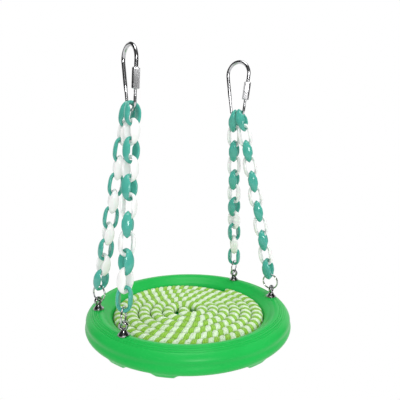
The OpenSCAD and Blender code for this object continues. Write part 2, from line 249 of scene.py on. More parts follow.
def node_axes(name, above=None):
    """Centre and main axes of a CAD node's skin, longest spread first, as a right-handed set of rows.

    The spread is the skin's second moment: a triangle of area A gives A/12 times the sum of its
    corners' outer products and nine times its middle's. A height keeps only the skin above it.
    """
    tri = node_triangles(name)
    if above is not None:
        tri = tri[tri[:, :, 2].min(1) > above]
    area = np.linalg.norm(np.cross(tri[:, 1] - tri[:, 0], tri[:, 2] - tri[:, 0]), axis=1) / 2
    centre = (tri.mean(1) * area[:, None]).sum(0) / area.sum()
    rel = tri - centre
    mid = rel.mean(1)
    spread = np.einsum("t,tvi,tvj->ij", area, rel, rel) + 9 * np.einsum("t,ti,tj->ij", area, mid, mid)
    axes = np.linalg.eigh(spread)[1][:, ::-1].T
    axes[0] *= 1.0 if axes[0][2] >= 0 else -1.0
    axes[2] = np.cross(axes[0], axes[1])
    return centre, axes


def skin(points, ring=False, run=None):
    """Closed skin over a grid of points, rows by columns.

    Columns wrap round. Rows wrap too when ring is set; otherwise each end row is closed by a fan to
    its middle. Faces are turned so that the skin's volume is positive. The UV map holds the distance
    along the rows, from run where it is given, and the share of the way round a row.
    """
    rows, cols = points.shape[:2]
    a, b = np.meshgrid(np.arange(rows if ring else rows - 1), np.arange(cols), indexing="ij")
    n, m = (a + 1) % rows, (b + 1) % cols
    quads = np.stack([a * cols + b, n * cols + b, n * cols + m, a * cols + m], -1).reshape(-1, 4)
    along = np.arange(rows + 1, dtype=float) if run is None else np.append(run, run[-1])
    around = np.arange(cols + 1) / cols
    quad_uv = np.stack(
        [np.stack([along[a + i], around[b + j]], -1) for i, j in ((0, 0), (1, 0), (1, 1), (0, 1))], -2
    ).reshape(-1, 4, 2)
    verts = points.reshape(-1, 3)
    tris = np.zeros((0, 3), int)
    tri_uv = np.zeros((0, 3, 2))
    if not ring:
        j = np.arange(cols)
        k = (j + 1) % cols
        tip = np.full(cols, len(verts))
        last = (rows - 1) * cols
        tris = np.vstack([np.stack([j, k, tip], -1), np.stack([last + k, last + j, tip + 1], -1)])
        verts = np.vstack([verts, points[0].mean(0), points[-1].mean(0)])
        tri_uv = np.zeros((len(tris), 3, 2))
        tri_uv[cols:, :, 0] = along[rows - 1]
    split = np.vstack([quads[:, [0, 1, 2]], quads[:, [0, 2, 3]], tris])
    p = verts[split]
    if np.einsum("ti,ti->", p[:, 0], np.cross(p[:, 1], p[:, 2])) < 0:
        quads, quad_uv = quads[:, ::-1], quad_uv[:, ::-1]
        tris, tri_uv = tris[:, ::-1], tri_uv[:, ::-1]
    return verts, quads, tris, quad_uv, tri_uv


def spokes(a, first, second):
    """Directions first * cos a + second * sin a: a row for each pair of vectors, a column for each angle."""
    first, second = np.reshape(first, (-1, 1, 3)), np.reshape(second, (-1, 1, 3))
    return np.cos(a)[None, :, None] * first + np.sin(a)[None, :, None] * second


def tube(path, radius, sides, normal, ring=False, ridges=None):
    """Round bar along a path that lies in one plane.

    The section's axes are the plane's normal and the side direction at right angles to the path. The
    radius may change along the path; ridges adds a height for each row and angle.
    """
    ahead = np.roll(path, -1, 0) - np.roll(path, 1, 0)
    if not ring:
        ahead[0], ahead[-1] = path[1] - path[0], path[-1] - path[-2]
    side = np.cross(unit(ahead), normal)
    a = full_turn(sides)
    r = np.broadcast_to(np.asarray(radius, float), (len(path),))[:, None] * np.ones(sides)
    if ridges is not None:
        r = r + ridges(travel(path)[:, None], a[None, :])
    return path[:, None] + r[..., None] * spokes(a, side, normal)


def lathe(profile, sides, centre=(0.0, 0.0, 0.0)):
    """Profile of radius and height turned about an upright axis: x = r cos a, y = r sin a, z = h."""
    a = full_turn(sides)
    ring = np.stack([np.cos(a), np.sin(a), 0 * a], -1)
    return profile[:, None, :1] * ring + profile[:, None, 1:] * UP + np.asarray(centre)


def add_object(name, data):
    """Object of that data, put in the scene."""
    made = bpy.data.objects.new(name, data)
    bpy.context.scene.collection.objects.link(made)
    return made


def add_piece(name, skins, finishes, body, replaced, crease=None, picks=None):
    """Joins skins into one mesh object at the origin, hangs it on its body and hides the nodes it replaces.

    Each skin takes the finish of the same place in picks, or the first one. Edges sharper than the
    crease angle, in degrees, stay sharp.
    """
    verts, faces, uvs, marks, start = [], [], [], [], 0
    for k, (points, quads, tris, quad_uv, tri_uv) in enumerate(skins):
        verts.append(points)
        faces += (quads + start).tolist() + (tris + start).tolist()
        uvs += [quad_uv.reshape(-1, 2), tri_uv.reshape(-1, 2)]
        marks.append(np.full(len(quads) + len(tris), picks[k] if picks else 0, np.int32))
        start += len(points)
    mesh = bpy.data.meshes.new(name)
    mesh.from_pydata(np.vstack(verts).tolist(), [], faces)
    mesh.uv_layers.new(name="Run").data.foreach_set("uv", np.vstack(uvs).ravel().astype(np.float32))
    for finish in finishes:
        mesh.materials.append(finish)
    mesh.polygons.foreach_set("material_index", np.concatenate(marks))
    mesh.polygons.foreach_set("use_smooth", np.ones(len(faces), bool))
    if crease is not None:
        mesh.set_sharp_from_angle(angle=np.radians(crease))
    mesh.update()
    piece = add_object(name, mesh)
    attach(piece, body)
    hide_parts(*replaced)


class Shade:
    """A socket of a material's node tree; arithmetic on it adds Math nodes, node() adds any other."""

    def __init__(self, tree, socket=None):
        self.tree = tree
        self.socket = socket

    def node(self, kind, settings=None, sockets=None, out=0):
        """Adds a node: its type, its settings, which are set first, and values or links for its sockets."""
        made = self.tree.nodes.new(kind)
        for key, value in (settings or {}).items():
            if key == "stops":
                ramp = made.color_ramp
                while len(ramp.elements) < len(value):
                    ramp.elements.new(0.5)
                for element, (place, tint) in zip(ramp.elements, value):
                    element.position = place
                    element.color = tint
            else:
                setattr(made, key, value)
        for key, value in (sockets or {}).items():
            if isinstance(value, Shade):
                self.tree.links.new(value.socket, made.inputs[key])
            else:
                made.inputs[key].default_value = value
        return Shade(self.tree, made.outputs[out]) if len(made.outputs) else None

    def math(self, operation, *values):
        """A Math node of that operation on the values."""
        return self.node("ShaderNodeMath", {"operation": operation}, dict(enumerate(values)))

    def __add__(self, other):
        return self.math("ADD", self, other)

    __radd__ = __add__

    def __sub__(self, other):
        return self.math("SUBTRACT", self, other)

    def __rsub__(self, other):
        return self.math("SUBTRACT", other, self)

    def __mul__(self, other):
        return self.math("MULTIPLY", self, other)

    __rmul__ = __mul__

    def mix(self, low, high):
        """Colour between two colours, this socket being the share of the second."""
        return self.node("ShaderNodeMix", {"data_type": "RGBA"}, {0: self, 6: low, 7: high}, 2)

    def place(self):
        """Position on the piece, in metres from its origin."""
        return self.node("ShaderNodeTexCoord", out="Object")

    def noise(self, scale, detail=3.0, rough=0.5):
        """Cloudy values from 0 to 1 over this vector socket; the scale counts features per metre."""
        values = {"Vector": self, "Scale": scale, "Detail": detail, "Roughness": rough}
        return self.node("ShaderNodeTexNoise", {}, values)

    def ramp(self, low, high, first=BLACK, last=WHITE):
        """This socket spread from the first colour at low to the last one at high."""
        return self.node("ShaderNodeValToRGB", {"stops": [(low, first), (high, last)]}, {0: self})

    def sine(self):
        """Sine of this socket, in radians."""
        return self.math("SINE", self)

    def from_axis(self):
        """Distance of this place from the upright axis."""
        flat = self.stretch(1.0, 1.0, 0.0)
        return self.node("ShaderNodeVectorMath", {"operation": "LENGTH"}, {0: flat}, "Value")

    def stretch(self, x, y, z):
        """This vector socket with its three axes scaled."""
        return self.node("ShaderNodeVectorMath", {"operation": "MULTIPLY"}, {0: self, 1: (x, y, z)})

    def bump(self, strength, distance):
        """Surface normal with this socket as the height."""
        return self.node("ShaderNodeBump", {}, {"Height": self, "Strength": strength, "Distance": distance})


def rgba(tint, gain=1.0):
    """Colour with alpha, scaled and kept within range."""
    return (*(min(1.0, max(0.0, c * gain)) for c in tint), 1.0)


def finish(name, build, constants):
    """A material: build gives the sockets that vary, constants the values set once on the shader."""
    made = bpy.data.materials.get(name)
    if made:
        return made
    made = bpy.data.materials.new(name)
    made.use_nodes = True
    tree = made.node_tree
    shader = tree.nodes["Principled BSDF"]
    for key, value in constants.items():
        shader.inputs[key].default_value = value
    for key, value in build(Shade(tree)).items():
        tree.links.new(value.socket, shader.inputs[key])
    return made


SCUFF_GREEN = (0.16, 0.62, 0.22)


def moulded_green(tray):
    """Satin moulded plastic: cloudy colour, faint rings from the mould, fine grain and light scuffs."""

    def build(s):
        place = s.place()
        cloud = place.noise(38.0, 4.0)
        grain = place.noise(2600.0, 2.0)
        scuff = place.stretch(1.0, 1.0, 3.0).noise(420.0, 6.0, 0.7)
        rings = (place.from_axis() * 5200.0).sine()
        worn = scuff.ramp(0.52, 0.72)
        tint = cloud.mix(rgba(tray.green_deep), rgba(tray.green, 1.06))
        tint = (worn * 0.10).mix(tint, rgba(SCUFF_GREEN))
        height = grain * 0.5 + scuff * 0.3 + rings * 0.04
        return {
            "Base Color": tint,
            "Roughness": 0.30 + cloud * 0.08 + worn * 0.10,
            "Normal": height.bump(0.10, 0.0004),
        }

    return finish("moulded_green", build, {"IOR": 1.46, "Specular IOR Level": 0.25})


def link_plastic(name, tint, deep, milky):
    """Glossy moulded plastic: a slight cloud in the colour, a soft orange-peel skin and tiny specks.

    Deep is the colour's share where the cloud is darkest, milky the share of light that passes inside.
    """

    def build(s):
        place = s.place()
        cloud = place.noise(160.0, 3.0)
        skin_height = place.noise(420.0, 1.0)
        speck = place.noise(1500.0, 2.0).ramp(0.66, 0.74)
        base = cloud.mix(rgba(tint, deep), rgba(tint, 1.12))
        return {
            "Base Color": (speck * 0.18).mix(base, rgba(tint, 1.35)),
            "Roughness": 0.05 + cloud * 0.08,
            "Normal": skin_height.bump(0.22, 0.0006),
        }

    constants = {
        "IOR": 1.5,
        "Subsurface Weight": milky,
        "Subsurface Radius": (0.9, 1.0, 0.95),
        "Subsurface Scale": 0.0024,
    }
    return finish(name, build, constants)


# dark green of the sunk flecks, coloured like shaded furrows: partly green fibres, partly painted shade
FLECK_AND_SHADE_GREEN = (0.20, 0.45, 0.04)
YARN_WINDINGS, YARN_PITCH = 9.0, 0.0042  # yarns round a strand, and the length in which they turn once


def cotton(name, tint, painted_shade, sheen_and_pale):
    """Laid cotton strand: yarns wind round it, with fuzz, dark green flecks, paler clouds and painted light.

    The colour is darkened as painted shade where the yarns and fuzz sit low and kept full where they
    stand up; the third argument is the colour's share in that painted shade. The fourth is a pale
    colour, painted as sheen on the fuzz's highest tips and mixed into random clouds. The flecks are
    sunk as small pits and coloured like shaded furrows: partly green fibres, partly painted shade.
    """

    def build(s):
        place = s.place()
        way = s.node("ShaderNodeTexCoord", out="UV")
        along = s.node("ShaderNodeSeparateXYZ", {}, {0: way}, 0)
        around = s.node("ShaderNodeSeparateXYZ", {}, {0: way}, 1)
        wobble = place.noise(900.0, 3.0)
        turn = around * (YARN_WINDINGS * TAU) + along * (TAU / YARN_PITCH) + wobble * 2.2
        yarn = turn.sine() * 0.5 + 0.5
        fuzz = place.noise(5200.0, 4.0, 0.7)
        cloud = place.noise(260.0, 3.0)
        fleck = place.noise(800.0, 3.0, 0.65).ramp(0.32, 0.41, WHITE, BLACK)
        # painted light and shade: darker where the yarns and fuzz sit low, full colour where they stand up
        painted_light_share = yarn * 0.55 + fuzz * 0.75 - 0.15
        tint_now = painted_light_share.mix(rgba(tint, painted_shade), rgba(tint))
        # painted sheen: the pale colour on the fuzz's highest tips; the next line mixes it into random clouds
        ends = fuzz.ramp(0.60, 0.78)
        tint_now = (ends * 0.5).mix(tint_now, rgba(sheen_and_pale))
        tint_now = (cloud * 0.25).mix(tint_now, rgba(sheen_and_pale))
        # dark green flecks sunk as pits: partly green fibres, partly painted shade
        tint_now = (fleck * 0.55).mix(tint_now, rgba(FLECK_AND_SHADE_GREEN))
        height = yarn * 0.6 + fuzz * 0.9 - fleck * 0.8
        return {"Base Color": tint_now, "Roughness": 0.85 + fuzz * 0.1, "Normal": height.bump(0.75, 0.0007)}

    return finish(name, build, {"Sheen Weight": 0.25, "Sheen Roughness": 0.5, "Specular IOR Level": 0.2})


def plated(steel, name="plated_steel", gain=1.0):
    """Plated steel: fine polishing lines, a few dull patches, small pits; a gain below 1 is painted shade."""

    def build(s):
        place = s.place()
        dull = place.noise(240.0, 4.0, 0.6)
        lines = place.stretch(1.0, 1.0, 0.12).noise(3800.0, 2.0)
        pits = place.noise(1300.0, 3.0).ramp(0.64, 0.76)
        tint = dull.mix(rgba(steel.plating, 0.85 * gain), rgba(steel.plating, 1.12 * gain))
        tint = (pits * 0.35).mix(tint, rgba(steel.plating, 0.35 * gain))
        return {
            "Base Color": tint,
            "Roughness": 0.11 + dull * 0.10 + pits * 0.15,
            "Normal": (lines + dull).bump(0.05, 0.0003),
        }

    return finish(name, build, {"Metallic": 1.0})


GROOVES = (0.0800, 0.0814, 0.0833, 0.0847)  # radii of the grooves on the crown
GROOVE_HALF = 0.0003
GROOVE_TURN = 120  # degrees round the crown, outside of which the grooves lie
SHOULDER_TURN, SHOULDER_HALF = 128, 22  # degrees: middle and half width of the flattened shoulder
HOLLOW_RISE, HOLLOW_HALF = 0.0092, 0.0023  # height over the underside and half width of the side hollow
FLOOR_FILLET = 0.0012
SLOT_EDGE = 0.0003
FOOT_ANGLES = np.array([21.0, 47.5, 94.5, 201.0, 227.5, 274.5])
FOOT_FADE = (4.2, 7.0)  # degrees from a foot's middle between which it runs out
FOOT_INNER_EDGE = 0.0009
FOOT_OUTER_FADE = (0.0850, 0.0880)
FOOT_REACH = (0.0008, 0.0022)  # heights over the underside between which the skin stops moving
SEAT_FADE = (0.0049, 0.0056)
SEAT_REACH = 0.0015
BOSS_RADIUS, BOSS_EDGE, BOSS_DROP, BOSS_ROOT = 0.0037, 0.0003, 0.001, 0.0008


def rim_outside(t, mid, centre):
    """Crown, outer wall and outer lower corner of the rim, from the inner wall to the underside.

    Grooves and the flattened shoulder come off along the crown's radius, the hollow off the tray's
    radius: each takes depth * exp(-(d/w)^2).
    """
    half, low = t.rim_width / 2, t.foot_height
    turn = np.linspace(180, 0, 180)[:, None]
    crown = arc(mid, centre, half, 180, 0, 180)
    sink = t.slant * np.exp(-(((turn - SHOULDER_TURN) / SHOULDER_HALF) ** 2))
    for radius in GROOVES:
        groove = t.groove * np.exp(-(((crown[:, :1] - radius) / GROOVE_HALF) ** 2))
        sink = sink + groove * (turn < GROOVE_TURN)
    crown = crown + (np.array([mid, centre]) - crown) * sink / half
    outer = np.vstack([
        crown,
        line((t.rim_radius, centre), (t.rim_radius, low + t.corner), 6),
        arc(mid + half - t.corner, low + t.corner, t.corner, 0, -90, 18),
    ])
    outside = (outer[:, :1] > mid) * np.array([1.0, 0.0])
    return outer - outside * t.hollow * np.exp(-(((outer[:, 1:] - low - HOLLOW_RISE) / HOLLOW_HALF) ** 2))


def tray_profile(t):
    """Outline of the moulding from the middle of the floor, over the rim, back to the floor's underside.

    The rim is a half circle on short upright walls with two round lower corners and a slot between them.
    Its inside is the same shape, one wall smaller.
    """
    half, mid = t.rim_width / 2, t.rim_radius - t.rim_width / 2
    inner, low, centre = t.rim_radius - t.rim_width, t.foot_height, t.rim_top - t.rim_width / 2
    top, plate = t.floor_under + t.floor_thick, low + t.wall
    near, far = mid - t.slot / 2, mid + t.slot / 2
    corner, hollow = t.corner - t.wall, half - t.wall
    drop = np.degrees(np.arcsin((low + t.corner - t.floor_under) / t.corner))
    meet = inner + t.corner * (1 - np.cos(np.radians(drop)))
    run = [
        line((0.0, top), (inner - FLOOR_FILLET, top), 12),
        arc(inner - FLOOR_FILLET, top + FLOOR_FILLET, FLOOR_FILLET, -90, 0, 5),
        line((inner, top + FLOOR_FILLET), (inner, centre), 3),
        rim_outside(t, mid, centre),
        line((mid + half - t.corner, low), (far + SLOT_EDGE, low), 9),
        arc(far + SLOT_EDGE, low + SLOT_EDGE, SLOT_EDGE, -90, -180, 4),
        line((far, low + SLOT_EDGE), (far, plate), 3),
        line((far, plate), (mid + hollow - corner, plate), 3),
        arc(mid + hollow - corner, plate + corner, corner, -90, 0, 8),
        arc(mid, centre, hollow, 0, 180, 40),
        arc(mid - hollow + corner, plate + corner, corner, 180, 270, 8),
        line((mid - hollow + corner, plate), (near, plate), 3),
        line((near, plate), (near, low + SLOT_EDGE), 3),
        arc(near - SLOT_EDGE, low + SLOT_EDGE, SLOT_EDGE, 0, -90, 4),
        line((near - SLOT_EDGE, low), (inner + t.corner, low), 4),
        arc(inner + t.corner, low + t.corner, t.corner, 270, 180 + drop, 8),
        line((meet, t.floor_under), (0.0, t.floor_under), 12),
    ]
    return once(np.vstack(run))[1:-1]


def bolt_place(chain):
    """Place of a chain's eye bolt on the rim, seen from above."""
    return node_axes("eye_bolt_" + chain)[0][:2]


def press_feet(points, t):
    """Brings the rim's underside down to the ground at each foot, with eased edges all round it."""
    r = np.hypot(points[..., 0], points[..., 1])
    angle = np.degrees(np.arctan2(points[..., 1], points[..., 0])) % 360
    away = np.abs((angle[..., None] - FOOT_ANGLES + 180) % 360 - 180).min(-1)
    foot = 1 - ease(away, *FOOT_FADE)
    edge = t.rim_radius - t.rim_width / 2 + t.slot / 2
    band = ease(r, edge, edge + FOOT_INNER_EDGE) * (1 - ease(r, *FOOT_OUTER_FADE))
    under = 1 - ease(points[..., 2] - t.foot_height, *FOOT_REACH)
    points[..., 2] -= foot * band * under * points[..., 2]


def flatten_seats(points, t):
    """Brings the crown to the seats' level round each bolt."""
    seat = t.rim_top - t.seat_depth
    for chain in CHAINS:
        near = np.linalg.norm(points[..., :2] - bolt_place(chain), axis=-1)
        flat = (1 - ease(near, *SEAT_FADE)) * (points[..., 2] > seat - SEAT_REACH)
        points[..., 2] += flat * (seat - points[..., 2])


def boss_skin(chain, t):
    """Low round boss under the crown, that a bolt's washer bears on."""
    low, root = t.rim_top - t.wall - BOSS_DROP, t.rim_top - t.wall + BOSS_ROOT
    inner = BOSS_RADIUS - BOSS_EDGE
    profile = once(np.vstack([
        line((AXIS_GAP, low), (inner, low), 5),
        arc(inner, low + BOSS_EDGE, BOSS_EDGE, -90, 0, 4),
        line((BOSS_RADIUS, low + BOSS_EDGE), (BOSS_RADIUS, root), 3),
    ]))
    return skin(lathe(profile, 32, (*bolt_place(chain), 0.0)))


class HAMMOCK_OT_tray(Operator):
    """Turns the moulded ring tray, then presses out its feet and flattens the bolts' seats"""

    bl_idname = "hammock.tray"
    bl_label = "Ring tray"

    def execute(self, context):
        t = context.scene.hammock_tray
        points = lathe(tray_profile(t), 256)
        press_feet(points, t)
        flatten_seats(points, t)
        skins = [skin(points)] + [boss_skin(chain, t) for chain in CHAINS]
        add_piece("tray_moulding", skins, [moulded_green(t)], "tray", ["tray"], crease=50)
        return {"FINISHED"}


POINTS_A_TURN = 180
ROPE_SINK = 0.0003  # how far the strands press into the floor
SLACK = ((0.035, 0.0113, 0.0), (0.03, 0.0071, 2.0))  # turns, length and start of each slow swing of the lay
ROPE_STEP = 0.00045
YARNS, YARN_RISE, YARN_LAY, YARN_SWAY = 5, 0.05, 0.0031, 0.0017
STRAND_SIDES = 16
STRAND_RADIAL, STRAND_ACROSS = 0.96, 1.06  # the pressed strand's shares of its round section


def rope_path(rope):
    """Axis of the rope: a spiral whose turns run round at the front and jog to the next turn at the back.

    At n turns the radius is pitch * (n + share * (step(f) - f)): f is the part of n after the point, step
    goes smoothly from 0 to 1 about f = 1/2 and share grows from 0 at the first turn to 1 at the sixth.
    A quarter-turn curl lies inside it, and both ends run straight for one rope's width.
    """
    n = np.arange(rope.first_turn, rope.last_turn + 1e-6, 1 / POINTS_A_TURN)
    f = n - np.floor(n)
    share = np.clip((n - 1) / (np.floor(rope.last_turn) - 1), 0.0, 1.0)
    radius = rope.pitch * (n + share * (ease(f, 0.5 - rope.jog / 2, 0.5 + rope.jog / 2) - f))
    angle = TAU * n + rope.front
    spiral = radius[:, None] * np.stack([np.cos(angle), np.sin(angle)], -1)
    tangent = unit(np.gradient(spiral, axis=0))
    side = rope.pitch / 2 * np.array([tangent[0, 1], -tangent[0, 0]])
    a = np.radians(np.linspace(-90, 0, 16))[:-1]
    curl = spiral[0] - side + np.stack(
        [side[0] * np.cos(a) - side[1] * np.sin(a), side[0] * np.sin(a) + side[1] * np.cos(a)], -1
    )
    first = unit(curl[1] - curl[0])
    path = np.vstack([
        line(curl[0] - rope.rope_width * first, curl[0], 8)[:-1],
        curl,
        spiral,
        line(spiral[-1], spiral[-1] + rope.rope_width * tangent[-1], 8)[1:],
    ])
    path = even(path, ROPE_STEP)
    height = ROPE_LOW.z + rope.helix + rope.strand - ROPE_SINK
    return np.column_stack([path, np.full(len(path), height)])


def strand_skin(path, rope, start):
    """One strand: its axis winds round the rope's axis, side times cos w plus up times sin w.

    The angle w grows by one turn for each lay, a little unevenly. The strand's round section stands on the
    radial direction, yarns stand out of it as cosine ridges that wind round, and its two ends are rounded.
    The whole is spread sideways, as turns that press on each other.
    """
    s = travel(path)
    ahead = unit(np.gradient(path, axis=0))
    side = np.cross(ahead, UP)
    turns = np.unwrap(np.arctan2(path[:, 1], path[:, 0])) / TAU
    slack = sum(swing * np.sin(s / reach + begin) for swing, reach, begin in SLACK)
    w = TAU * (s / rope.lay + rope.drift * turns + slack + start + rope.phase)
    radial = np.cos(w)[:, None] * side + np.sin(w)[:, None] * UP
    axis = path + rope.helix * radial
    run = unit(np.gradient(axis, axis=0))
    across = np.cross(run, radial)
    a = full_turn(STRAND_SIDES)
    wind = TAU * s / YARN_LAY + np.sin(s / YARN_SWAY)
    yarns = 1 + YARN_RISE * np.cos(YARNS * a[None, :] + wind[:, None])
    end = np.minimum(s, s[-1] - s)
    r = rope.strand * np.sqrt(np.clip(1 - (1 - np.minimum(end / rope.strand, 1.0)) ** 2, 0.02, 1.0))
    ways = spokes(a, STRAND_RADIAL * radial, STRAND_ACROSS * across)
    points = axis[:, None] + (r[:, None] * yarns)[..., None] * ways
    aside = np.einsum("pai,pi->pa", points - path[:, None], side)
    points = points + rope.spread * aside[..., None] * side[:, None]
    return skin(points, run=travel(axis))


# shares of each colour kept where shade is painted between the yarns and fuzz
LIME_PAINTED_SHADE, WHITE_PAINTED_SHADE = 0.45, 0.94
# pale colours: painted sheen on the fuzz's tips, also mixed into random paler clouds
LIME_SHEEN_AND_PALE, WHITE_SHEEN_AND_PALE = (0.58, 0.86, 0.25), (0.92, 1.0, 0.84)


class HAMMOCK_OT_rope_mat(Operator):
    """Lays the rope mat: lime and white strands by turns along the spiral"""

    bl_idname = "hammock.rope_mat"
    bl_label = "Rope mat"

    def execute(self, context):
        rope = context.scene.hammock_rope
        path = rope_path(rope)
        skins = [strand_skin(path, rope, k / rope.strands) for k in range(rope.strands)]
        finishes = [
            cotton("cotton_lime", rope.lime, LIME_PAINTED_SHADE, LIME_SHEEN_AND_PALE),
            cotton("cotton_white", rope.white, WHITE_PAINTED_SHADE, WHITE_SHEEN_AND_PALE),
        ]
        picks = [k % 2 for k in range(rope.strands)]
        add_piece("rope_mat_strands", skins, finishes, "tray", ["rope_mat"], picks=picks)
        return {"FINISHED"}


LINK_SIDES, LINK_STEP = 36, 0.0004
SECTION_POWER, SECTION_EVEN = 0.5, 0.2  # power of the section's oblong, and how its corners are spaced out
TEAL_DEEP, WHITE_DEEP, TEAL_MILKY, WHITE_MILKY = 0.76, 0.93, 0.12, 0.6
LEAF_POWER = 2.1  # exponent of the full leaf's outline
LEAF_FADE = (0.0018, 0.0036)  # distance from the middle line in which the lens grows to the full leaf
PINCH_FADE = (0.0024, 0.0056)  # height from the middle in which the inner face narrows
SLIM_THICK, SLIM_LEAF = 0.88, 0.95  # a slim link's shares of the thickness and of the leaf


def rounded_square(angle, power):
    """Cosine and sine of the angles, each raised to the power with its sign kept."""
    c, s = np.cos(angle), np.sin(angle)
    return np.sign(c) * np.abs(c) ** power, np.sign(s) * np.abs(s) ** power


def link_skin(name, link, slim):
    """Oval ring: a flattened section rides on the curve |x/a|^e + |y/b|^e = 1.

    The section is a rounded oblong, flat inside and domed outside. Near the middle its half depth at a
    height z is leaf/2 - R + sqrt(R*R - z*z), a lens; out at the legs it grows to a fuller oval leaf. The
    inner face narrows towards the ends, where the next link passes. A slim link, which swings beside a
    hook's wire, has thinner legs and keeps the lens all round.
    """
    centre, axes = node_axes(name)
    thick = link.thick * (SLIM_THICK if slim else 1.0)
    leaf = link.leaf * (SLIM_LEAF if slim else 1.0)
    x, y = rounded_square(full_turn(720), 2 / link.oval)
    path = np.stack([(link.wide - thick) / 2 * x, (link.long - thick) / 2 * y], -1)
    path = even(np.vstack([path, path[:1]]), LINK_STEP)[:-1]
    ahead = unit(np.roll(path, -1, 0) - np.roll(path, 1, 0))
    out = np.stack([ahead[:, 1], -ahead[:, 0]], -1)
    v = full_turn(LINK_SIDES)
    c, s = rounded_square(v - SECTION_EVEN * np.sin(4 * v), SECTION_POWER)
    radial = thick / 2 * c - link.dome * s ** 2 * (c + 1) / 2
    plane = path[:, None] + radial[None, :, None] * out[:, None]
    half = link.long / 2
    high = np.minimum(np.abs(plane[..., 1]), half)
    rise = (leaf - link.tip) / 2
    round_r = (half ** 2 + rise ** 2) / (2 * rise)
    depth = leaf / 2 - round_r + np.sqrt(round_r ** 2 - high ** 2)
    if not slim:
        full = np.maximum(depth, leaf / 2 * (1 - (high / half) ** LEAF_POWER) ** (1 / LEAF_POWER))
        depth = depth + (full - depth) * ease(np.abs(plane[..., 0]), *LEAF_FADE)
    depth = depth * (1 - link.pinch * (1 - c) / 2 * ease(high, *PINCH_FADE))
    points = (
        centre
        + plane[..., :1] * axes[1]
        + plane[..., 1:] * axes[0]
        + (depth * s[None, :])[..., None] * axes[2]
    )
    return skin(points, ring=True)


class HAMMOCK_OT_links(Operator):
    """Moulds the chain links, teal and white by turns, one on each link's place"""

    bl_idname = "hammock.links"
    bl_label = "Chain links"

    def execute(self, context):
        link = context.scene.hammock_link
        teal = link_plastic("link_teal_plastic", link.teal, TEAL_DEEP, TEAL_MILKY)
        white = link_plastic("link_white_plastic", link.white, WHITE_DEEP, WHITE_MILKY)
        for chain in CHAINS:
            for k in range(1, LINKS + 1):
                node = f"link_{chain}_{k:02d}"
                odd = k % 2 == 1
                add_piece(
                    f"{chain}_link_{k:02d}",
                    [link_skin(node, link, k == 1)],
                    [teal if odd else white],
                    BODY_OF[node],
                    [node],
                )
        return {"FINISHED"}


def add_steel(name, node, skins, plating, crease):
    """Adds a steel piece in the place of its node."""
    add_piece(name, skins, [plating], BODY_OF[node], [node], crease=crease)


RING_CUT = 2.0  # degrees from the ring's side to each cut end
RING_POINTS, RING_END = 120, 0.8  # the two end rows have this share of the wire's radius


class HAMMOCK_OT_jump_rings(Operator):
    """Bends the jump rings, each a wire circle with a closed cut at its side"""

    bl_idname = "hammock.jump_rings"
    bl_label = "Jump rings"

    def execute(self, context):
        steel = context.scene.hammock_steel
        a = np.radians(np.linspace(RING_CUT, 360.0 - RING_CUT, RING_POINTS))[:, None]
        radius = np.full(RING_POINTS, steel.ring_wire / 2)
        radius[[0, -1]] *= RING_END
        for chain in CHAINS:
            node = "jump_ring_" + chain
            centre, axes = node_axes(node)
            lift = unit(UP - axes[2] * (axes[2] @ UP))
            side = np.cross(axes[2], lift)
            path = centre + (steel.ring_wide - steel.ring_wire) / 2 * (np.cos(a) * side + np.sin(a) * lift)
            add_steel(chain + "_jump_ring", node, [skin(tube(path, radius, 20, axes[2]))], plated(steel), 60)
        return {"FINISHED"}


def thread(pitch, height, first, last):
    """Ridges of a screw thread between two distances: they climb one pitch for each turn."""

    def ridges(s, a):
        wave = np.abs(((s / pitch - a / TAU) % 1.0) * 2 - 1)
        return -height * wave * ease(s, first, first + pitch) * (1 - ease(s, last - pitch, last))

    return ridges


BOLT_THREAD, HOOK_THREAD = (0.0005, 0.00018), (0.0006, 0.00016)  # pitch and height of the ridges
SHANK_PLAIN, SHANK_ROOT = 0.003, 0.0005  # length without thread, and length that runs up into the base
SHANK_TIP = 0.75  # share of the radius at the shank's tip
FLARE_NECK, FLARE_POWER, FLARE_SINK = 0.0022, 1.4, 0.0002
LIP_LOW, LIP_HIGH = (0.00025, 0.0004), (0.0003, 0.0009)  # radius and height over the seat of the lip's edges
FLARE_FOOT, FLARE_INSET, FLARE_TOP = 0.0012, 0.0004, 0.0004  # where the flare stands on the lip, and its end
CAP_INSET, CAP_EDGE, CAP_MIDDLE = 0.0001, 0.0005, 0.0006  # the nearly flat close of the neck, inside the eye
EYE_POINTS = 56
EYE_FULLER = 0.35  # share by which the eye's wire is thicker along the eye's axis
BOLT_PAINTED_SHADE = 0.62  # the bolts' plating is a darker copy of the hooks': painted shade


def bolt_base(steel, seat, rise):
    """Flared base of an eye bolt, radius and height: a rounded lip, then neck + spread * (1 - t)^power."""
    (low_r, low_h), (high_r, high_h) = LIP_LOW, LIP_HIGH
    t = np.linspace(0.0, 1.0, 14)
    flare = FLARE_NECK + (steel.flange - FLARE_NECK - FLARE_INSET) * (1 - t) ** FLARE_POWER
    climb = FLARE_FOOT + (rise + FLARE_TOP - FLARE_FOOT) * t
    return once(np.vstack([
        line((AXIS_GAP, seat - FLARE_SINK), (steel.flange - FLARE_SINK, seat - FLARE_SINK), 6),
        arc(steel.flange - low_r, seat + low_h, low_r, -90, 0, 4),
        arc(steel.flange - high_r, seat + high_h, high_r, 0, 75, 5),
        np.stack([flare, seat + climb], -1),
        line((FLARE_NECK - CAP_INSET, seat + rise + CAP_EDGE), (AXIS_GAP, seat + rise + CAP_MIDDLE), 4),
    ]))


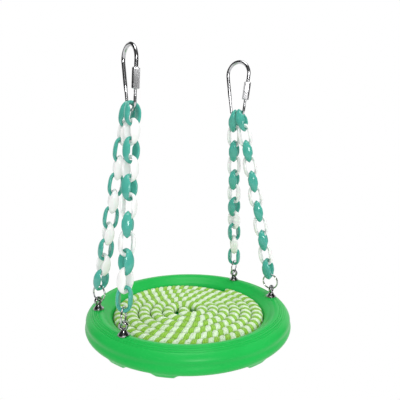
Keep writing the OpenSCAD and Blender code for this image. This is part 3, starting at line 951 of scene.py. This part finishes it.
class HAMMOCK_OT_eye_bolts(Operator):
    """Forms the eye bolts: threaded shank, flared base and a round eye"""

    bl_idname = "hammock.eye_bolts"
    bl_label = "Eye bolts"

    def execute(self, context):
        steel = context.scene.hammock_steel
        tray = context.scene.hammock_tray
        seat = tray.rim_top - tray.seat_depth
        for chain in CHAINS:
            node = "eye_bolt_" + chain
            low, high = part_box(node)
            x, y = bolt_place(chain)
            rise = high.z - 2 * steel.eye_mid - steel.eye_wire - seat
            skins = [skin(lathe(bolt_base(steel, seat, rise), 48, (x, y, 0.0)))]
            z = np.linspace(low.z, seat + SHANK_ROOT, 90)
            shaft = np.column_stack([np.full(len(z), x), np.full(len(z), y), z])
            radius = np.full(len(z), steel.shank)
            radius[0] *= SHANK_TIP
            ridges = thread(*BOLT_THREAD, 0.0, z[-1] - z[0] - SHANK_PLAIN)
            skins.append(skin(tube(shaft, radius, 20, np.array([0.0, 1.0, 0.0]), ridges=ridges)))
            flat = node_axes(node, above=seat + steel.flange_rise + FLARE_TOP)[1][2]
            normal = unit(np.array([flat[0], flat[1], 0.0]))
            middle = np.array([x, y, high.z - steel.eye_mid - steel.eye_wire / 2])
            a = full_turn(EYE_POINTS)[:, None]
            path = middle + steel.eye_mid * (np.cos(a) * np.cross(UP, normal) + np.sin(a) * UP)
            ring = tube(path, steel.eye_wire / 2, 24, normal, ring=True)
            ring = ring + EYE_FULLER * ((ring - middle) @ normal)[..., None] * normal
            skins.append(skin(ring, ring=True))
            # the bolts get a darker copy of the plating: painted shade
            add_steel(chain + "_eye_bolt", node, skins, plated(steel, "bolt_steel", BOLT_PAINTED_SHADE), 50)
        return {"FINISHED"}


class HAMMOCK_OT_nuts_washers(Operator):
    """Plates the nuts and washers under the crown"""

    bl_idname = "hammock.nuts_washers"
    bl_label = "Nuts and washers"

    def execute(self, context):
        for node in ("eye_nuts", "eye_washers"):
            for place in NODES[node].material_slots:
                place.material = plated(context.scene.hammock_steel)
        return {"FINISHED"}


def hook_place(side):
    """Foot of a hook's axis, the direction across it towards its sleeve, and its plane's normal."""
    low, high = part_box("hook_" + side)
    centre, axes = node_axes("hook_" + side)
    normal = unit(np.array([axes[2][0], axes[2][1], 0.0]))
    across = np.cross(normal, UP)
    if across @ (node_axes("sleeve_" + side)[0] - centre) < 0:
        across, normal = -across, -normal
    foot = np.array([(low.x + high.x) / 2, (low.y + high.y) / 2, low.z])
    return foot, across, normal, high.z - low.z


SWELL_FADE = (2.2, 3.2)  # heights, in bend radii, between which the wire swells
WIRE_STEP = 0.00022
WIRE_END, WIRE_CHAMFER = 0.82, 0.0004  # share of the wire's radius at its two ends, and their length
NEAR_THREAD, FAR_THREAD, THREAD_PAST = 0.0060, 0.0080, 0.001  # the wire's threads, and their run-out


class HAMMOCK_OT_hooks(Operator):
    """Bends the two hooks: a pear of two arcs and two legs, open at the gap under the sleeve"""

    bl_idname = "hammock.hooks"
    bl_label = "Hooks"

    def execute(self, context):
        steel = context.scene.hammock_steel
        wire = steel.hook_wire / 2
        bend, wide = steel.hook_bend, steel.hook_width / 2 - wire
        for side in ("left", "right"):
            foot, across, normal, long = hook_place(side)
            rise = long - 2 * wire - wide - bend
            lean = np.arcsin((wide - bend) / rise)
            deg = np.degrees(lean)
            leg = rise * np.cos(lean)
            low_c, top_c = bend + wire, long - wire - wide
            start = np.array([bend * np.cos(lean), low_c - bend * np.sin(lean)])
            go = np.array([np.sin(lean), np.cos(lean)])
            run = np.vstack([
                line(start + go * steel.gate_low, start, 20),
                arc(0, low_c, bend, -deg, -180 + deg, 60),
                line(start * [-1, 1], (start + go * leg) * [-1, 1], 40),
                arc(0, top_c, wide, 180 + deg, -deg, 90),
                line(start + go * leg, start + go * (steel.gate_low + steel.gate_gap), 30),
            ])
            run = even(once(run), WIRE_STEP)
            path = foot + run[:, :1] * across + run[:, 1:] * UP
            s = travel(path)
            end = np.minimum(s, s[-1] - s)
            radius = wire + steel.hook_swell / 2 * ease(run[:, 1] / bend, *SWELL_FADE)
            radius = radius * (WIRE_END + (1 - WIRE_END) * ease(end, 0.0, WIRE_CHAMFER))

            def ridges(s, a, total=s[-1]):
                near = thread(*HOOK_THREAD, -THREAD_PAST, NEAR_THREAD)(s, a)
                return near + thread(*HOOK_THREAD, total - FAR_THREAD, total + THREAD_PAST)(s, a)

            skins = [skin(tube(path, radius, 20, normal, ridges=ridges))]
            add_steel(side + "_hook", "hook_" + side, skins, plated(steel), 60)
        return {"FINISHED"}


SLEEVE_RIM, SLEEVE_CONE = 0.0001, 0.0003  # distances from a sleeve's ends to the rows that shape them
CONE_START, CONE_SLOPE, BORE_MOUTH = 0.97, 1.7, 0.00025  # end chamfers, and the bore's wider mouth


class HAMMOCK_OT_sleeves(Operator):
    """Turns the six-sided screw sleeves with chamfered ends and a clear bore"""

    bl_idname = "hammock.sleeves"
    bl_label = "Screw sleeves"

    def execute(self, context):
        steel = context.scene.hammock_steel
        a = full_turn(96)
        flat, half = steel.sleeve_flats / 2, steel.sleeve_long / 2
        inside, rim = half - SLEEVE_CONE, half - SLEEVE_RIM
        outer_h = np.concatenate([[-half, -rim], np.linspace(-inside, inside, 17), [rim, half]])
        bore_h = np.concatenate([[half], np.linspace(inside, -inside, 9), [-half]])
        cone = CONE_START * flat + CONE_SLOPE * (half - np.abs(outer_h))
        bore = np.full((len(bore_h), len(a)), steel.sleeve_bore)
        bore[[0, -1]] += BORE_MOUTH
        h = np.concatenate([outer_h, bore_h])[:, None, None]
        for side, turn in (("left", 0.0), ("right", TAU / 12)):
            node = "sleeve_" + side
            six = flat / np.cos((a + turn) % (TAU / 6) - TAU / 12)
            r = np.vstack([np.minimum(six[None, :], cone[:, None]), bore])
            centre, axes = node_axes(node)
            along = axes[0]
            across = unit(np.cross(along, hook_place(side)[2]))
            points = centre + h * along + r[..., None] * spokes(a, across, np.cross(along, across))
            add_steel(side + "_sleeve", node, [skin(points, ring=True)], plated(steel), 25)
        return {"FINISHED"}


def seen_share(s):
    """One for light that reaches the eye straight, by mirror or through glass, and zero for other light."""
    kinds = ("Camera", "Glossy", "Transmission")
    ways = [s.node("ShaderNodeLightPath", out=f"Is {kind} Ray") for kind in kinds]
    return s.math("MAXIMUM", s.math("MAXIMUM", ways[0], ways[1]), ways[2])


def sheet(name, points):
    """Open sheet over a grid of points, rows by columns, as an object in the scene."""
    rows, cols = points.shape[:2]
    i, j = np.meshgrid(np.arange(rows - 1), np.arange(cols - 1), indexing="ij")
    first = (i * cols + j).ravel()
    faces = np.stack([first, first + cols, first + cols + 1, first + 1], -1)
    mesh = bpy.data.meshes.new(name)
    mesh.from_pydata(points.reshape(-1, 3).tolist(), [], faces.tolist())
    return add_object(name, mesh)


LAMPS = (
    ("key_lamp", "key", (-0.396, -0.98, 0.393), 0.3, True),
    ("top_lamp", "top", (-0.12, -0.20, 1.25), 0.7, True),
    ("fill_lamp", "fill", (0.95, -0.25, 0.70), 0.8, False),
)
LAMP_AIM = np.array([0.0, 0.0, 0.09])
FLOOR_FADE = {1: 0.12, 2: 0.30, 3: 0.3, 4: 1.0}  # distances between which white takes over, and its shares
FLOOR_HALF = 6.0
TENT_RADIUS = 2.4
TENT_STEPS = 17
TENT_GREYS = (("tent_dark", 0.05), ("tent_pale", 0.42))
PHOTO_PIXELS, FOCAL_PIXELS, SENSOR = 400, 384.33, 36.0
CAMERA_PLACE = (-0.16837, -0.27811, 0.15384)
CAMERA_TURN = (78.486, -0.356, -32.843)  # degrees
CAMERA_SHIFT = 0.075


class HAMMOCK_OT_stage(Operator):
    """Lays the pale floor, hangs the soft lamps and sets the camera"""

    bl_idname = "hammock.stage"
    bl_label = "Stage"

    def execute(self, context):
        scene = context.scene
        stage = scene.hammock_stage
        scene.view_settings.view_transform = "Standard"
        self.world(scene, stage)
        self.floor(stage)
        for name, power, place, size, glossy in LAMPS:
            self.lamp(name, place, getattr(stage, power), size, glossy)
        self.dark_tent(stage)
        self.camera(scene)
        return {"FINISHED"}

    def world(self, scene, stage):
        """Even light, seen as white."""
        world = bpy.data.worlds.new("studio")
        scene.world = world
        world.use_nodes = True
        tree = world.node_tree
        lit = tree.nodes["Background"]
        lit.inputs["Color"].default_value = WHITE
        lit.inputs["Strength"].default_value = stage.world
        s = Shade(tree)
        white = s.node("ShaderNodeBackground", {}, {"Color": WHITE, "Strength": 1.0})
        both = s.node("ShaderNodeMixShader", {}, {0: seen_share(s), 1: Shade(tree, lit.outputs[0]), 2: white})
        tree.links.new(both.socket, tree.nodes["World Output"].inputs["Surface"])

    def floor(self, stage):
        """Wide pale floor that keeps the shadow near the middle and runs out into white."""
        x = np.linspace(-FLOOR_HALF, FLOOR_HALF, 25)
        gx, gy = np.meshgrid(x, x, indexing="ij")
        floor = sheet("floor", np.stack([gx, gy, np.full_like(gx, -stage.floor_drop)], -1))
        made = bpy.data.materials.new("pale_floor")
        made.use_nodes = True
        tree = made.node_tree
        tree.nodes.remove(tree.nodes["Principled BSDF"])
        s = Shade(tree)
        place = s.place()
        smooth = {"interpolation_type": "SMOOTHSTEP"}
        fade = s.node("ShaderNodeMapRange", smooth, {0: place.from_axis(), **FLOOR_FADE})
        lit = s.node("ShaderNodeBsdfDiffuse", {}, {"Color": (*stage.pale, 1)})
        white = s.node("ShaderNodeEmission", {}, {"Color": WHITE, "Strength": 1.0})
        share = fade * seen_share(s)
        both = s.node("ShaderNodeMixShader", {}, {0: share, 1: lit, 2: white})
        tree.links.new(both.socket, tree.nodes["Material Output"].inputs["Surface"])
        floor.data.materials.append(made)

    def dark_tent(self, stage):
        """Part of a dark dome behind the camera and the lamps, that only gloss and bright metal show.

        Points of a sphere: azimuth on both sides of the camera's direction, with a paler strip in the
        middle, elevation from just below level over the top.
        """
        angles = stage.tent_span / 2, stage.tent_strip / 2, stage.tent_low, stage.tent_high
        half, strip, low, high = np.radians(angles)
        turn = np.concatenate([np.linspace(-half, -strip, TENT_STEPS), np.linspace(strip, half, TENT_STEPS)])
        a, e = np.meshgrid(FRONT + turn, np.linspace(low, high, TENT_STEPS), indexing="ij")
        points = TENT_RADIUS * np.stack([np.cos(a) * np.cos(e), np.sin(a) * np.cos(e), np.sin(e)], -1)
        tent = sheet("dark_tent", points)
        for name, grey in TENT_GREYS:
            values = {"Base Color": (grey, grey, grey, 1), "Roughness": 1.0}
            tent.data.materials.append(finish(name, lambda s: {}, values))
        middle = np.arange(len(turn) - 1) == TENT_STEPS - 1
        tent.data.polygons.foreach_set("material_index", np.repeat(middle, TENT_STEPS - 1).astype(np.int32))
        tent.visible_camera = False
        tent.visible_diffuse = False
        tent.visible_shadow = False

    def lamp(self, name, place, power, size, glossy):
        """Square soft lamp that faces the middle of the chains; gloss shows it where that is asked."""
        data = bpy.data.lights.new(name, "AREA")
        data.shape = "SQUARE"
        data.size = size
        data.energy = power
        lamp = add_object(name, data)
        lamp.visible_glossy = glossy
        back = unit(np.array(place) - LAMP_AIM)
        right = unit(np.cross(UP, back))
        over = np.cross(back, right)
        turn = Matrix(np.stack([right, over, back], 1).tolist()).to_4x4()
        lamp.matrix_world = Matrix.Translation(place) @ turn

    def camera(self, scene):
        """Camera of the photograph, fitted to the chains, rim and hooks."""
        data = bpy.data.cameras.new("camera")
        data.sensor_width = SENSOR
        data.lens = FOCAL_PIXELS / PHOTO_PIXELS * SENSOR
        data.shift_y = CAMERA_SHIFT
        data.clip_start = 0.01
        camera = add_object("camera", data)
        camera.location = CAMERA_PLACE
        camera.rotation_euler = np.radians(CAMERA_TURN)
        scene.camera = camera


class HAMMOCK_PT_panel(Panel):
    """Lists the hammock's pieces and their sizes and colours"""

    bl_label = "Bird hammock"
    bl_idname = "HAMMOCK_PT_panel"
    bl_space_type = "VIEW_3D"
    bl_region_type = "UI"
    bl_category = "Hammock"

    def draw(self, context):
        for operator in OPERATORS:
            self.layout.operator(operator.bl_idname)
        for name, group in GROUPS.items():
            box = self.layout.box()
            for prop in group.__annotations__:
                box.prop(getattr(context.scene, name), prop)


GROUPS = {
    "hammock_tray": HammockTray,
    "hammock_rope": HammockRope,
    "hammock_link": HammockLink,
    "hammock_steel": HammockSteel,
    "hammock_stage": HammockStage,
}
OPERATORS = (
    HAMMOCK_OT_stage,
    HAMMOCK_OT_tray,
    HAMMOCK_OT_rope_mat,
    HAMMOCK_OT_links,
    HAMMOCK_OT_jump_rings,
    HAMMOCK_OT_eye_bolts,
    HAMMOCK_OT_nuts_washers,
    HAMMOCK_OT_hooks,
    HAMMOCK_OT_sleeves,
)


def register():
    """Registers the settings, the operators and the panel."""
    for name, group in GROUPS.items():
        bpy.utils.register_class(group)
        setattr(bpy.types.Scene, name, PointerProperty(type=group))
    for made in (*OPERATORS, HAMMOCK_PT_panel):
        bpy.utils.register_class(made)


def unregister():
    """Takes back what register did."""
    for made in reversed((*OPERATORS, HAMMOCK_PT_panel)):
        bpy.utils.unregister_class(made)
    for name, group in GROUPS.items():
        delattr(bpy.types.Scene, name)
        bpy.utils.unregister_class(group)


def main():
    """Builds every piece and the stage."""
    register()
    bpy.ops.hammock.stage()
    bpy.ops.hammock.tray()
    bpy.ops.hammock.rope_mat()
    bpy.ops.hammock.links()
    bpy.ops.hammock.jump_rings()
    bpy.ops.hammock.eye_bolts()
    bpy.ops.hammock.nuts_washers()
    bpy.ops.hammock.hooks()
    bpy.ops.hammock.sleeves()


if __name__ == "__main__":
    main()
